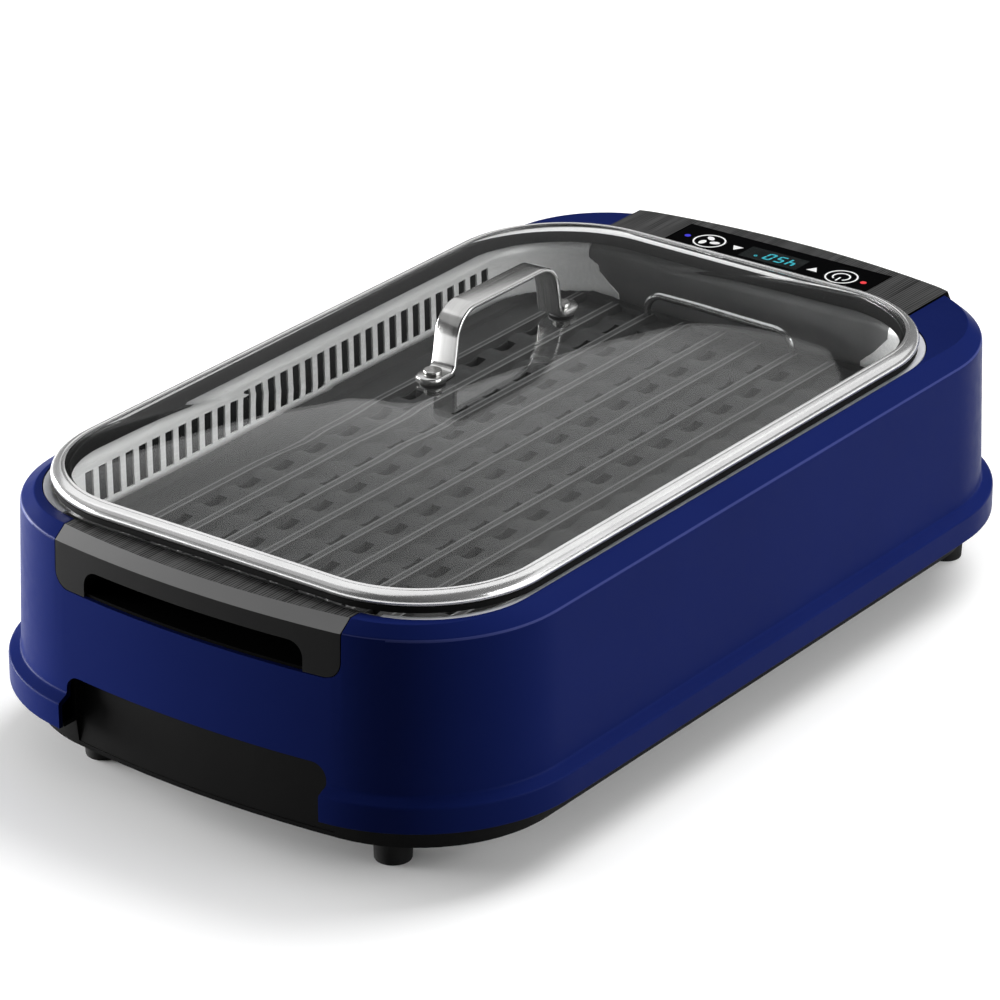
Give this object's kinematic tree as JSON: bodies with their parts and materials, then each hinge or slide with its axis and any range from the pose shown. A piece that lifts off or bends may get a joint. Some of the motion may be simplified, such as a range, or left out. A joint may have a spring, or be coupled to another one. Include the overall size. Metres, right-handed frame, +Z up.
{
  "type": "smokeless indoor grill",
  "caption": "Long rounded electric indoor grill with a blue housing, lift-off domed glass lid with strap handle, ribbed plate, slotted vent panels, drip tray, end grip and touch panel.",
  "frame": {"origin": "floor level under the middle of the overall length and width", "axes": "+X along the length towards the control panel, +Y towards the long side on the left when looking along +X, +Z up"},
  "size_m": [0.5264, 0.3144, 0.2],
  "materials": {
    "blue_plastic": "satin",
    "black_plastic": "matte",
    "grip_plastic": "satin",
    "rubber_black": "matte",
    "steel": "brushed",
    "bright_steel": "polished",
    "screw_steel": "plain",
    "tub_coating": "satin coated",
    "nonstick": "non-stick coated",
    "tray_metal": "satin coated",
    "element_metal": "oxidised",
    "clear_glass": "clear",
    "display_glass": "gloss",
    "circuit_board": "matte",
    "fan_plastic": "matte",
    "motor_metal": "plain"
  },
  "bodies": {
    "housing": {"outer_shell": "blue_plastic", "base_pan": "black_plastic", "foot_screws": "screw_steel", "base_screws": "screw_steel", "tub_screws": "screw_steel", "front_grip": "grip_plastic", "control_panel": "grip_plastic", "display_glass": "display_glass", "display_module": "black_plastic", "control_board": "circuit_board", "power_inlet": "black_plastic", "inner_tub": "tub_coating", "tub_floor": "tub_coating", "vent_panel_left": "steel", "vent_panel_right": "steel", "element_socket": "black_plastic", "fan_housing": "fan_plastic", "fan_guard": "fan_plastic", "fan_motor": "motor_metal", "foot_near_left": "rubber_black", "foot_near_right": "rubber_black", "foot_far_left": "rubber_black", "foot_far_right": "rubber_black"},
    "fan": {"fan_impeller": "fan_plastic"},
    "tray": {"drip_tray": "tray_metal"},
    "plate": {"grill_plate": "nonstick", "plate_bail_near": "bright_steel", "plate_bail_far": "bright_steel", "heating_element": "element_metal", "element_clamps": "screw_steel", "clamp_screws": "screw_steel", "element_plug": "black_plastic", "plug_pins": "bright_steel"},
    "lid": {"lid_glass": "clear_glass", "lid_rim": "bright_steel", "lid_seal": "rubber_black", "lid_handle": "bright_steel", "lid_washers": "rubber_black", "lid_screws": "screw_steel", "lid_nuts": "screw_steel"}
  },
  "joints": [
    {"name": "fan_spin", "type": "hinge", "parent": "housing", "child": "fan", "pos_m": [0.02747, 0, 0.04], "axis": [0, 0, 1], "continuous": true},
    {"name": "tray_lift", "type": "slide", "parent": "housing", "child": "tray", "axis": [0, 0, 1], "range_m": [0, 0.2]},
    {"name": "plate_lift", "type": "slide", "parent": "tray", "child": "plate", "axis": [0, 0, 1], "range_m": [0, 0.2]},
    {"name": "lid_lift", "type": "slide", "parent": "plate", "child": "lid", "axis": [0, 0, 1], "range_m": [0, 0.2]}
  ]
}
